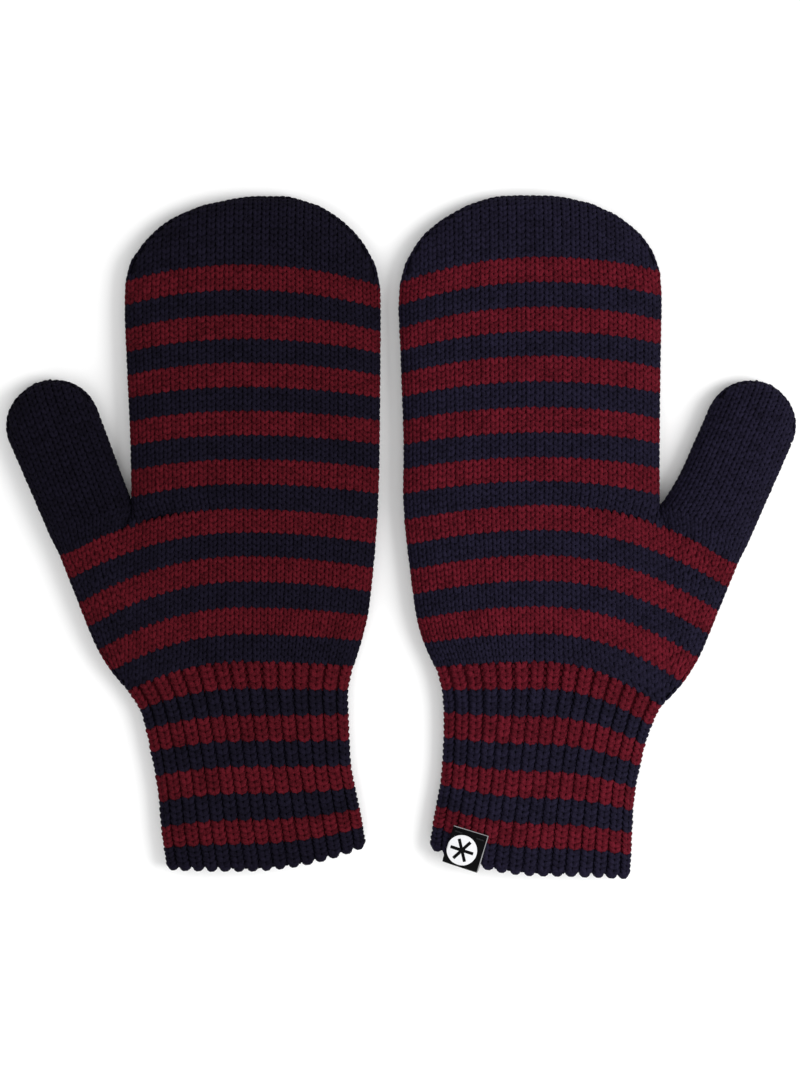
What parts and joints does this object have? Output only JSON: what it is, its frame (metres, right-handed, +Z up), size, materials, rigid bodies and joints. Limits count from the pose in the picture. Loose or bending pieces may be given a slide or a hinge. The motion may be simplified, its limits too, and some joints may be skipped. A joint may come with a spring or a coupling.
{
  "type": "pair of knitted mittens",
  "caption": "Pair of striped knitted mittens with ribbed cuffs, round fingertips and separate side thumbs, lying flat and open at the cuff.",
  "frame": {"origin": "the middle of the pair, on the surface they lie on", "axes": "+X across the pair to the right mitten, +Y towards the fingertips, +Z up from the surface"},
  "size_m": [0.3086, 0.2661, 0.0174],
  "materials": {
    "left_burgundy_yarn": "soft brushed wool yarn, knitted, burgundy",
    "left_navy_yarn": "soft brushed wool yarn, knitted, dark navy",
    "right_burgundy_yarn": "soft brushed wool yarn, knitted, burgundy",
    "right_navy_yarn": "soft brushed wool yarn, knitted, dark navy",
    "label_ribbon": "black woven ribbon with a pale woven mark",
    "label_thread": "pale sewing thread"
  },
  "bodies": {
    "left_palm": {"left_stripe_06": "left_navy_yarn", "left_stripe_07": "left_burgundy_yarn", "left_stripe_08": "left_navy_yarn", "left_stripe_09": "left_burgundy_yarn", "left_stripe_10": "left_navy_yarn", "left_stripe_11": "left_burgundy_yarn", "left_stripe_12": "left_navy_yarn", "left_stripe_13": "left_burgundy_yarn", "left_stripe_14": "left_navy_yarn", "left_stripe_15": "left_burgundy_yarn", "left_stripe_16": "left_navy_yarn", "left_stripe_17": "left_burgundy_yarn", "left_thumb_root": "left_navy_yarn"},
    "left_cuff": {"left_hem_welt": "left_navy_yarn", "left_stripe_01": "left_burgundy_yarn", "left_stripe_02": "left_navy_yarn", "left_stripe_03": "left_burgundy_yarn", "left_stripe_04": "left_navy_yarn", "left_stripe_05": "left_burgundy_yarn"},
    "left_fingers": {"left_stripe_18": "left_navy_yarn", "left_stripe_19": "left_burgundy_yarn", "left_stripe_20": "left_navy_yarn", "left_stripe_21": "left_burgundy_yarn", "left_stripe_22": "left_navy_yarn", "left_stripe_23": "left_burgundy_yarn", "left_fingertip": "left_navy_yarn"},
    "left_thumb": {"left_thumb": "left_navy_yarn"},
    "right_palm": {"right_stripe_06": "right_navy_yarn", "right_stripe_07": "right_burgundy_yarn", "right_stripe_08": "right_navy_yarn", "right_stripe_09": "right_burgundy_yarn", "right_stripe_10": "right_navy_yarn", "right_stripe_11": "right_burgundy_yarn", "right_stripe_12": "right_navy_yarn", "right_stripe_13": "right_burgundy_yarn", "right_stripe_14": "right_navy_yarn", "right_stripe_15": "right_burgundy_yarn", "right_stripe_16": "right_navy_yarn", "right_stripe_17": "right_burgundy_yarn", "right_thumb_root": "right_navy_yarn"},
    "right_cuff": {"right_hem_welt": "right_navy_yarn", "right_stripe_01": "right_burgundy_yarn", "right_stripe_02": "right_navy_yarn", "right_stripe_03": "right_burgundy_yarn", "right_stripe_04": "right_navy_yarn", "right_stripe_05": "right_burgundy_yarn", "hem_label": "label_ribbon", "label_stitches": "label_thread"},
    "right_fingers": {"right_stripe_18": "right_navy_yarn", "right_stripe_19": "right_burgundy_yarn", "right_stripe_20": "right_navy_yarn", "right_stripe_21": "right_burgundy_yarn", "right_stripe_22": "right_navy_yarn", "right_stripe_23": "right_burgundy_yarn", "right_fingertip": "right_navy_yarn"},
    "right_thumb": {"right_thumb": "right_navy_yarn"}
  },
  "joints": [
    {"name": "right_mitten_slide", "type": "slide", "parent": "left_palm", "child": "right_palm", "axis": [1, 0, 0], "range_m": [0, 0.12]},
    {"name": "left_wrist_bend", "type": "hinge", "parent": "left_palm", "child": "left_cuff", "pos_m": [-0.0619, -0.0635, 0.007], "axis": [-1, 0, 0], "range_deg": [0, 65], "deforming": ["left_stripe_06", "left_stripe_07"]},
    {"name": "left_finger_bend", "type": "hinge", "parent": "left_palm", "child": "left_fingers", "pos_m": [-0.0579, 0.0367, 0.0085], "axis": [1, 0, 0], "range_deg": [0, 80], "deforming": ["left_stripe_16", "left_stripe_17"]},
    {"name": "left_thumb_bend", "type": "hinge", "parent": "left_palm", "child": "left_thumb", "pos_m": [-0.12365, 0.00972, 0.00725], "axis": [0.9371, 0.349, 0], "range_deg": [0, 55], "deforming": ["left_thumb_root"]},
    {"name": "right_wrist_bend", "type": "hinge", "parent": "right_palm", "child": "right_cuff", "pos_m": [0.0549, -0.0645, 0.007], "axis": [-1, 0, 0], "range_deg": [0, 65], "deforming": ["right_stripe_06", "right_stripe_07"]},
    {"name": "right_finger_bend", "type": "hinge", "parent": "right_palm", "child": "right_fingers", "pos_m": [0.0509, 0.0374, 0.0085], "axis": [1, 0, 0], "range_deg": [0, 80], "deforming": ["right_stripe_16", "right_stripe_17"]},
    {"name": "right_thumb_bend", "type": "hinge", "parent": "right_palm", "child": "right_thumb", "pos_m": [0.12118, 0.00765, 0.00725], "axis": [0.9148, -0.4039, 0], "range_deg": [0, 55], "deforming": ["right_thumb_root"]}
  ]
}
